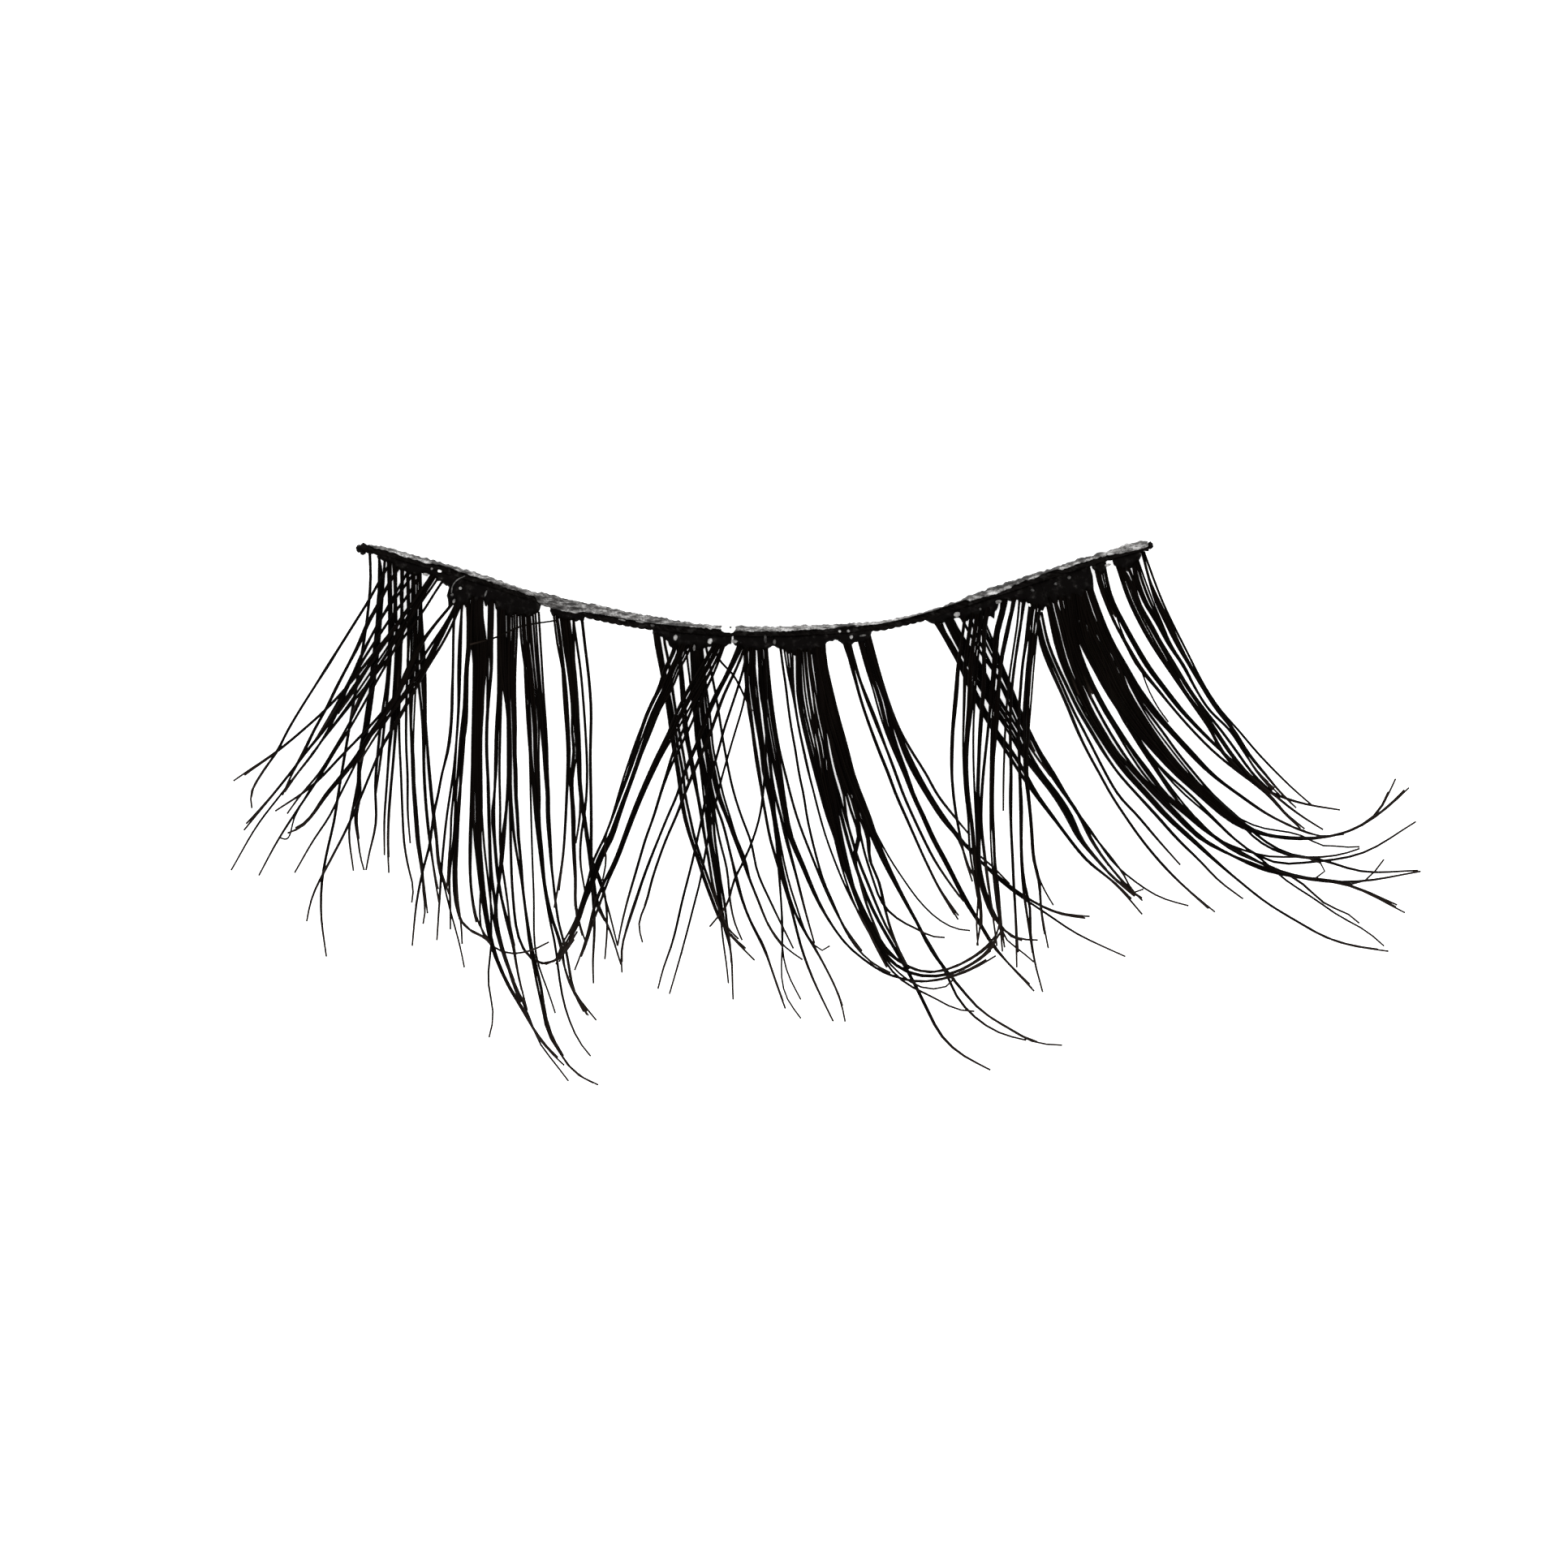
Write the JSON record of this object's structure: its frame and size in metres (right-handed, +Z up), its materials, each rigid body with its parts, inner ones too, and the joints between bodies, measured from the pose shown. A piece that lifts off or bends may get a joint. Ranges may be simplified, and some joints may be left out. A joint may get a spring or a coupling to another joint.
{
  "type": "false eyelash strip",
  "caption": "Curved thread band with a rim of dried adhesive and clusters of long black lashes glued under its seam, which cross, sweep sideways and curl up at the tips.",
  "frame": {"origin": "middle of the strip's box at the surface that it lies on, under the band and the flat stretch of the lashes", "axes": "+X along the band towards its right end as seen from above with the tips nearest, +Y from the tips to the band, +Z up from the surface"},
  "size_m": [0.0488, 0.022, 0.0056],
  "materials": {
    "band_thread": "black twisted cotton thread set in glue, faint sheen",
    "lash_hair": "near-black tapered fibre with a soft sheen, slightly brown where single tips thin out",
    "adhesive_film": "dried translucent grey adhesive, mottled, with dark specks",
    "glue_bead": "small white dried bead of adhesive, glossy"
  },
  "bodies": {
    "root": {"band_thread": "band_thread", "adhesive_film": "adhesive_film", "glue_bead": "glue_bead", "lashes_left_corner": "lash_hair", "lashes_left_fan": "lash_hair", "lashes_left_wisp": "lash_hair", "lashes_mid_left": "lash_hair", "lashes_centre": "lash_hair", "lashes_mid_right": "lash_hair", "lashes_slant": "lash_hair", "lashes_right_cross": "lash_hair", "lashes_right_sweep": "lash_hair", "lashes_right_pair": "lash_hair", "lashes_right_corner": "lash_hair"}
  },
  "joints": []
}
